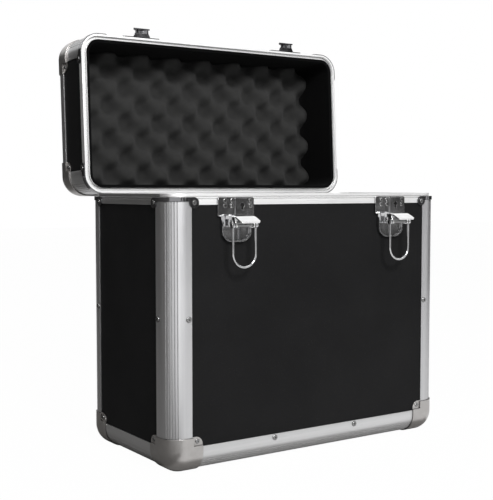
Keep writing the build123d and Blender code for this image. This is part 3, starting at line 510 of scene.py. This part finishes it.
# ---- rivets and pins ------------------------------------------------------------------------------
# Blind rivets that hold rails, caps, braces and hardware to the boards, and the latches' pins. Their plate
# is given a dark grey, a painted shade.
# the rivets' and pins' dark grey is painted shade
rivet_shaded_tones = dict(pale=(0.36, 0.36, 0.36), deep=(0.26, 0.26, 0.26), rough=(0.14, 0.24))
rivet_shaded_plating = plated("rivet_shaded_plating", edge_radius=0.0003, **rivet_shaded_tones)
dress(rivet_shaded_plating, "body_rivets", "lid_rivets", "bail_pin_*", "lever_pins")


# ---- lock cores -----------------------------------------------------------------------------------
# The dark works of each lock, seen through the keyhole in its cover: a plate with a round post that
# a tubular key slips over, and two smaller plates behind the keyhole's slot.
lock_x = (-0.0985, 0.1125)
lock_z = 0.2722
lock_back = -0.0911
lock_hole = 0.00235
lock_slot = lock_hole * 0.5
lock_post = 0.0008
lock_bars = ((0.0, lock_hole, 0.0006), (0.0026, lock_slot, 0.0005), (0.0037, lock_slot, 0.0004))
lock_post_reach = 0.0022
lock_turns = 20
lock_deep = (0.008, 0.008, 0.008)
lock_pale = (0.020, 0.019, 0.018)


def join_rings(mesh, first, second):
    """A band of faces between two closed rings of as many points."""
    for k in range(len(first)):
        after = (k + 1) % len(first)
        mesh.faces.new((first[k], first[after], second[after], second[k]))


def round_bar(mesh, x, z, radius, rear, front):
    ends = []
    for y in (rear, front):
        ends.append([
            mesh.verts.new((
                x + radius * math.cos(math.tau * k / lock_turns), y,
                z + radius * math.sin(math.tau * k / lock_turns),
            ))
            for k in range(lock_turns)
        ])
    join_rings(mesh, *ends)
    mesh.faces.new(ends[0])
    mesh.faces.new(ends[1])


def finished_piece(name, mesh, finish):
    """The piece made from a closed mesh, its faces turned outwards, in its finish."""
    bmesh.ops.recalc_face_normals(mesh, faces=mesh.faces)
    data = bpy.data.meshes.new(name)
    mesh.to_mesh(data)
    mesh.free()
    data.materials.append(finish)
    made = bpy.data.objects.new(name, data)
    bpy.context.collection.objects.link(made)
    return made


lock_dark, lock_tree = new_material("lock_dark")
lock_grime = noise_value(lock_tree, own_place(lock_tree), 900.0, detail=3.0)
surface(lock_tree, {
    "Base Color": two_tone(lock_tree, lock_grime, lock_deep, lock_pale),
    "Specular IOR Level": 0.2,
    "Roughness": remap(lock_tree, lock_grime, 0, 1, 0.5, 0.75),
})
lock_mesh = bmesh.new()
for x in lock_x:
    for drop, radius, thick in lock_bars:
        round_bar(lock_mesh, x, lock_z - drop, radius, lock_back, lock_back - thick)
    round_bar(lock_mesh, x, lock_z, lock_post, lock_back, lock_back - lock_post_reach)
locks = finished_piece("lock_cores", lock_mesh, lock_dark)
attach(locks, "case_body")


# ---- carry handle ---------------------------------------------------------------------------------
# A bent steel rod in two brackets, plated like the latches. Its grip is a soft black moulding pushed
# over the rod, matte, polished a little by the palm.
grip_colour = (0.018, 0.018, 0.019)
dress(latch_plating, "handle_rod", "handle_brackets")
grip_black, grip_tree = new_material("grip_black")
grip_marks = use_group(grip_tree, handling, {"Cloud Scale": 40.0, "Speck Scale": 1500.0})
grip_pores = noise_value(grip_tree, own_place(grip_tree), 1800.0)
surface(grip_tree, {
    "Base Color": (*grip_colour, 1),
    "Specular IOR Level": 0.35,
    "Roughness": remap(grip_tree, grip_marks.outputs["Smear"], 0, 1, 0.45, 0.65),
    "Normal": bumped(grip_tree, grip_pores, 0.3, 0.0002),
})
dress(grip_black, "handle_grip")


# ---- felt linings ---------------------------------------------------------------------------------
# Thin black felt-faced foam, glued to the boards inside the body and the lid, with a rolled top edge.
# The lid's felt is turned over the inner leg of its rim. It is soft enough to lie a little unevenly.
lining_half_w = 0.1764
lining_half_d = 0.0834
lining_radius = 0.0144
lining_thick = 0.0020
body_lining_floor = 0.0088
body_lining_top = 0.2800
lid_lining_open_edge = 0.2815
lid_lining_floor = 0.3522
swing = math.radians(93)
hinge_line = Vector((0, 0.0960, 0.2793))
open_lid = Matrix.Translation(hinge_line) @ Matrix.Rotation(-swing, 4, "X") @ Matrix.Translation(-hinge_line)
outer_rises = (4 / 6, 2 / 6, 0)
inner_rises = 26
bend_steps = 5
outer_floor_rings = (0.03, 0.06)
inner_floor_rings = (0.06, 0.045, 0.03, 0.02)
edge_roll = (36, 72, 108, 144)
felt_swells = ((14, 0.00035), (60, 0.00015))
felt_dip = 0.0001
felt_loose_from = 0.0015
smallest_radius = 0.0004
ring_arc_steps = 7
ring_flat_steps = (22, 12)
lid_turnover = (
    (0.0000, 0.00075), (0.0014, 0.00075), (0.0017, 0.00065), (0.0017, 0.00058), (0.0000, 0.00055),
)
felt_deep = (0.0022, 0.0022, 0.0024)
felt_pale = (0.0042, 0.0042, 0.0044)


def rounded_ring(half_w, half_d, radius):
    """Points round a rectangle with rounded corners, anticlockwise from the right side."""
    radius = max(radius, smallest_radius)
    points = []
    for turn in range(4):
        centre_x = (half_w - radius) * (1 if turn in (0, 3) else -1)
        centre_y = (half_d - radius) * (1 if turn in (0, 1) else -1)
        for step in range(ring_arc_steps + 1):
            angle = math.radians(90) * (turn + step / ring_arc_steps)
            points.append((centre_x + radius * math.cos(angle), centre_y + radius * math.sin(angle)))
        steps = ring_flat_steps[turn % 2]
        length = 2 * ((half_w, half_d)[turn % 2] - radius)
        angle = math.radians(90) * (turn + 1)
        for step in range(1, steps):
            x, y = points[-1]
            points.append((x - math.sin(angle) * length / steps, y + math.cos(angle) * length / steps))
    return points


def wall_to_floor(start, radius, steps):
    """The bend between a wall and the floor, as pairs of inset and height."""
    bend = []
    for step in steps:
        angle = math.radians(90) * step / bend_steps
        bend.append((start + radius * (1 - math.cos(angle)), start + radius * (1 - math.sin(angle))))
    return bend


def felt_tub(name, floor, top, place, turnover):
    """The lining as one closed skin, from the end of its turned-over edge round to the inside."""
    up = 1 if floor < top else -1
    reach = abs(top - floor)
    wall_end = reach - lining_thick / 2
    radius_in = lining_radius - lining_thick
    wall_start = lining_thick + radius_in
    outer = [(-x, reach + rise) for x, rise in turnover] or [(0.0, wall_end)]
    outer += [(0.0, lining_radius + (wall_end - lining_radius) * share) for share in outer_rises]
    outer += wall_to_floor(0.0, lining_radius, range(1, bend_steps + 1))
    outer += [(inset, 0.0) for inset in outer_floor_rings]
    inner = [(inset, lining_thick) for inset in inner_floor_rings]
    inner += wall_to_floor(lining_thick, radius_in, range(bend_steps, -1, -1))
    inner += [
        (lining_thick, wall_start + (wall_end - wall_start) * step / inner_rises)
        for step in range(1, inner_rises + 1)
    ]
    for degrees in edge_roll:
        angle = math.radians(degrees)
        inner.append((
            lining_thick / 2 * (1 + math.cos(angle)), wall_end + lining_thick / 2 * math.sin(angle)
        ))
    mesh = bmesh.new()
    rings = []
    for index, (inset, height) in enumerate(outer + inner):
        ring = []
        loose = index >= len(outer) and inset > felt_loose_from
        for x, y in rounded_ring(lining_half_w - inset, lining_half_d - inset, lining_radius - inset):
            spot = Vector((x, y, floor + up * height))
            if loose:
                swell = sum(tall * noise.noise(spot * per_metre) for per_metre, tall in felt_swells)
                spot -= Vector((x / lining_half_w, y / lining_half_d, 0)) * max(swell, -felt_dip)
            ring.append(mesh.verts.new(place @ spot))
        rings.append(ring)
    underside = rings[len(outer) - 1]
    inside = rings[len(outer)]
    for lower, upper in zip(rings, rings[1:] + rings[:1]):
        if lower is not underside:
            join_rings(mesh, lower, upper)
    mesh.faces.new(underside)
    mesh.faces.new(inside)
    made = finished_piece(name, mesh, felt_black)
    made.data.shade_smooth()
    return made


felt_black, felt_tree = new_material("felt_black")
felt_place = own_place(felt_tree)
felt_fibre = noise_value(felt_tree, felt_place, 2200.0, detail=4.0, rough=0.75)
felt_cloud = noise_value(felt_tree, felt_place, 22.0, detail=3.0)
surface(felt_tree, {
    "Base Color": two_tone(felt_tree, felt_cloud, felt_deep, felt_pale),
    "Roughness": 0.95,
    "Specular IOR Level": 0.06,
    "Sheen Weight": 0.01,
    "Sheen Roughness": 0.6,
    "Normal": bumped(felt_tree, felt_fibre, 0.6, 0.0003),
})

body_felt = felt_tub("body_felt", body_lining_floor, body_lining_top, Matrix.Identity(4), ())
lid_felt = felt_tub("lid_felt", lid_lining_floor, lid_lining_open_edge, open_lid, lid_turnover)
for felt, body, node in ((body_felt, "case_body", "body_lining"), (lid_felt, "lid", "lid_lining")):
    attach(felt, body)
    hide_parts(node)


# ---- egg-crate foam -------------------------------------------------------------------------------
# A slab of charcoal open-cell foam in the lid's top, cut on a profiled roller into staggered rows of
# blunt peaks and hollows, and glued to the lining. Its edges are cut straight through the peaks.
foam_half_w = 0.1741
foam_half_d = 0.0811
foam_corner = 0.0121
foam_tip = 0.3302
foam_back = 0.3501
foam_hollow = 0.0150
peak_pitch_w = 0.0457
peak_pitch_d = 0.0424
hollow_x = -0.0330
hollow_y = -0.0174
blunt_share = 0.55
round_share = 0.45
foam_unevenness = ((45, 0.10), (130, 0.05))
lowest_share = 0.02
foam_step = 0.0021
foam_deep = (0.027, 0.027, 0.027)
foam_pale = (0.043, 0.043, 0.042)
foam_shade = (0.006, 0.006, 0.006)


def foam_height(x, y):
    turn_x = 2 * math.pi * (x - hollow_x) / peak_pitch_w
    turn_y = 2 * math.pi * (y - hollow_y) / peak_pitch_d
    wave = -math.cos(turn_x) * math.cos(turn_y)
    blunt = math.sin(wave * math.pi / 2) * blunt_share + wave * round_share
    spot = Vector((x, y, 0))
    uneven = sum(tall * noise.noise(spot * per_metre) for per_metre, tall in foam_unevenness)
    share = min(max(0.5 + 0.5 * blunt + uneven, lowest_share), 1.0)
    return foam_tip + foam_hollow * (1 - share)


def inside_corner(x, y):
    """Pulls a point of the slab's square corner back on to its rounded one."""
    over_x = abs(x) - (foam_half_w - foam_corner)
    over_y = abs(y) - (foam_half_d - foam_corner)
    far = math.hypot(max(over_x, 0), max(over_y, 0))
    if over_x <= 0 or over_y <= 0 or far <= foam_corner:
        return x, y
    shrink = foam_corner / far
    return (
        math.copysign(foam_half_w - foam_corner + over_x * shrink, x),
        math.copysign(foam_half_d - foam_corner + over_y * shrink, y),
    )


foam_grey, foam_tree = new_material("foam_grey")
foam_place = own_place(foam_tree)
foam_cells = add(foam_tree, "ShaderNodeTexVoronoi", {"Vector": foam_place, "Scale": 1100.0})
foam_cloud = noise_value(foam_tree, foam_place, 60.0, detail=3.0)
foam_mottled = two_tone(foam_tree, foam_cloud, foam_deep, foam_pale)
surface(foam_tree, {
    # the hollows go over to foam_shade: painted shade
    "Base Color": dirt_and_shade_in_crevices(foam_tree, foam_mottled, 0.02, foam_shade),
    "Roughness": 1.0,
    "Specular IOR Level": 0.05,
    "Sheen Weight": 0.05,
    "Sheen Roughness": 0.7,
    "Normal": bumped(foam_tree, foam_cells.outputs["Distance"], 0.7, 0.0005),
})

across = round(2 * foam_half_w / foam_step)
deep = round(2 * foam_half_d / foam_step)
foam_mesh = bmesh.new()
foam_rows = []
for row in range(deep + 1):
    line = []
    for column in range(across + 1):
        x = foam_half_w * (2 * column / across - 1)
        y = foam_half_d * (2 * row / deep - 1)
        x, y = inside_corner(x, y)
        line.append(foam_mesh.verts.new((x, y, foam_height(x, y))))
    foam_rows.append(line)
for low, high in zip(foam_rows, foam_rows[1:]):
    for column in range(across):
        foam_mesh.faces.new((low[column], high[column], high[column + 1], low[column + 1]))
border = foam_rows[0] + [line[-1] for line in foam_rows[1:]] + foam_rows[-1][-2::-1]
border += [line[0] for line in foam_rows[-2:0:-1]]
skirt = [foam_mesh.verts.new((v.co.x, v.co.y, foam_back)) for v in border]
join_rings(foam_mesh, border, skirt)
foam_mesh.faces.new(skirt)
bmesh.ops.transform(foam_mesh, matrix=open_lid, verts=foam_mesh.verts)
foam = finished_piece("egg_crate_foam", foam_mesh, foam_grey)
foam.data.shade_smooth()
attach(foam, "lid")
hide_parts("lid_foam")
